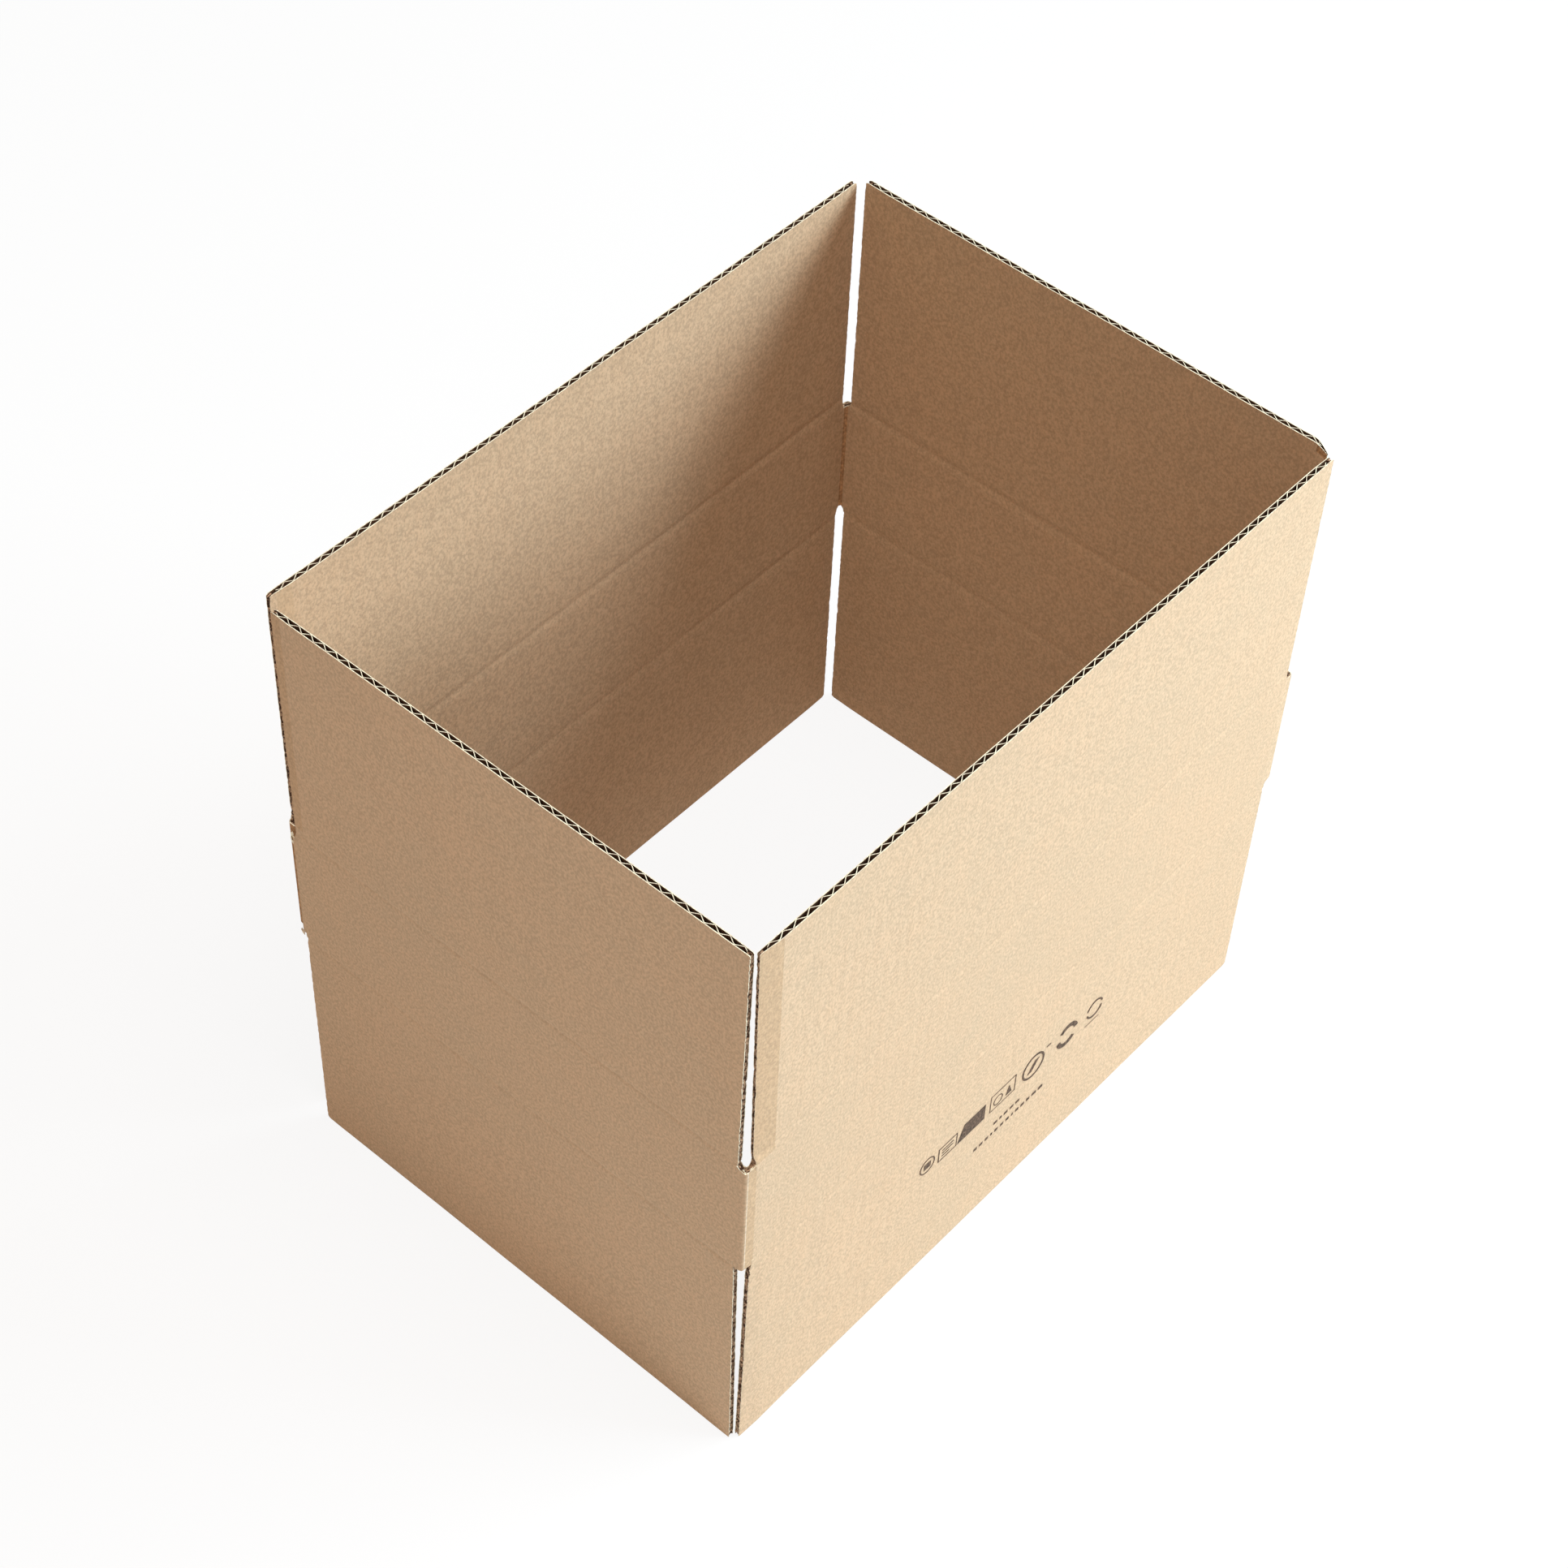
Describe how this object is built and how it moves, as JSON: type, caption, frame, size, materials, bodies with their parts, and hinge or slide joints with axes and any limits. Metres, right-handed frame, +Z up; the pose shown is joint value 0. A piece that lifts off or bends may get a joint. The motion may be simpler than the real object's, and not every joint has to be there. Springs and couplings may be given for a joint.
{
  "type": "corrugated shipping box",
  "caption": "Regular slotted shipping box of single-wall corrugated board, glued into an open tube, with hinged top and bottom flaps standing straight.",
  "frame": {"origin": "middle of the footprint, on the floor that the lower flaps stand on", "axes": "+X along the long panels, +Y towards the back long panel, +Z up through the open top"},
  "size_m": [0.356, 0.256, 0.3296],
  "materials": {
    "kraft_board": "matt"
  },
  "bodies": {
    "sleeve": {"sleeve": "kraft_board"},
    "top_flap_front": {"top_flap_front": "kraft_board"},
    "top_flap_back": {"top_flap_back": "kraft_board"},
    "top_flap_left": {"top_flap_left": "kraft_board"},
    "top_flap_right": {"top_flap_right": "kraft_board"},
    "bottom_flap_front": {"bottom_flap_front": "kraft_board"},
    "bottom_flap_back": {"bottom_flap_back": "kraft_board"},
    "bottom_flap_left": {"bottom_flap_left": "kraft_board"},
    "bottom_flap_right": {"bottom_flap_right": "kraft_board"}
  },
  "joints": [
    {"name": "top_front_fold", "type": "hinge", "parent": "sleeve", "child": "top_flap_front", "pos_m": [0, -0.128, 0.2031], "axis": [-1, 0, 0], "range_deg": [-175, 90]},
    {"name": "top_back_fold", "type": "hinge", "parent": "sleeve", "child": "top_flap_back", "pos_m": [0, 0.128, 0.2031], "axis": [1, 0, 0], "range_deg": [-175, 90]},
    {"name": "top_left_fold", "type": "hinge", "parent": "sleeve", "child": "top_flap_left", "pos_m": [-0.178, 0, 0.1998], "axis": [0, 1, 0], "range_deg": [-175, 90]},
    {"name": "top_right_fold", "type": "hinge", "parent": "sleeve", "child": "top_flap_right", "pos_m": [0.178, 0, 0.1998], "axis": [0, -1, 0], "range_deg": [-175, 90]},
    {"name": "bottom_front_fold", "type": "hinge", "parent": "sleeve", "child": "bottom_flap_front", "pos_m": [0, -0.128, 0.1265], "axis": [-1, 0, 0], "range_deg": [-90, 175]},
    {"name": "bottom_back_fold", "type": "hinge", "parent": "sleeve", "child": "bottom_flap_back", "pos_m": [0, 0.128, 0.1265], "axis": [1, 0, 0], "range_deg": [-90, 175]},
    {"name": "bottom_left_fold", "type": "hinge", "parent": "sleeve", "child": "bottom_flap_left", "pos_m": [-0.178, 0, 0.1298], "axis": [0, 1, 0], "range_deg": [-90, 175]},
    {"name": "bottom_right_fold", "type": "hinge", "parent": "sleeve", "child": "bottom_flap_right", "pos_m": [0.178, 0, 0.1298], "axis": [0, -1, 0], "range_deg": [-90, 175]}
  ]
}
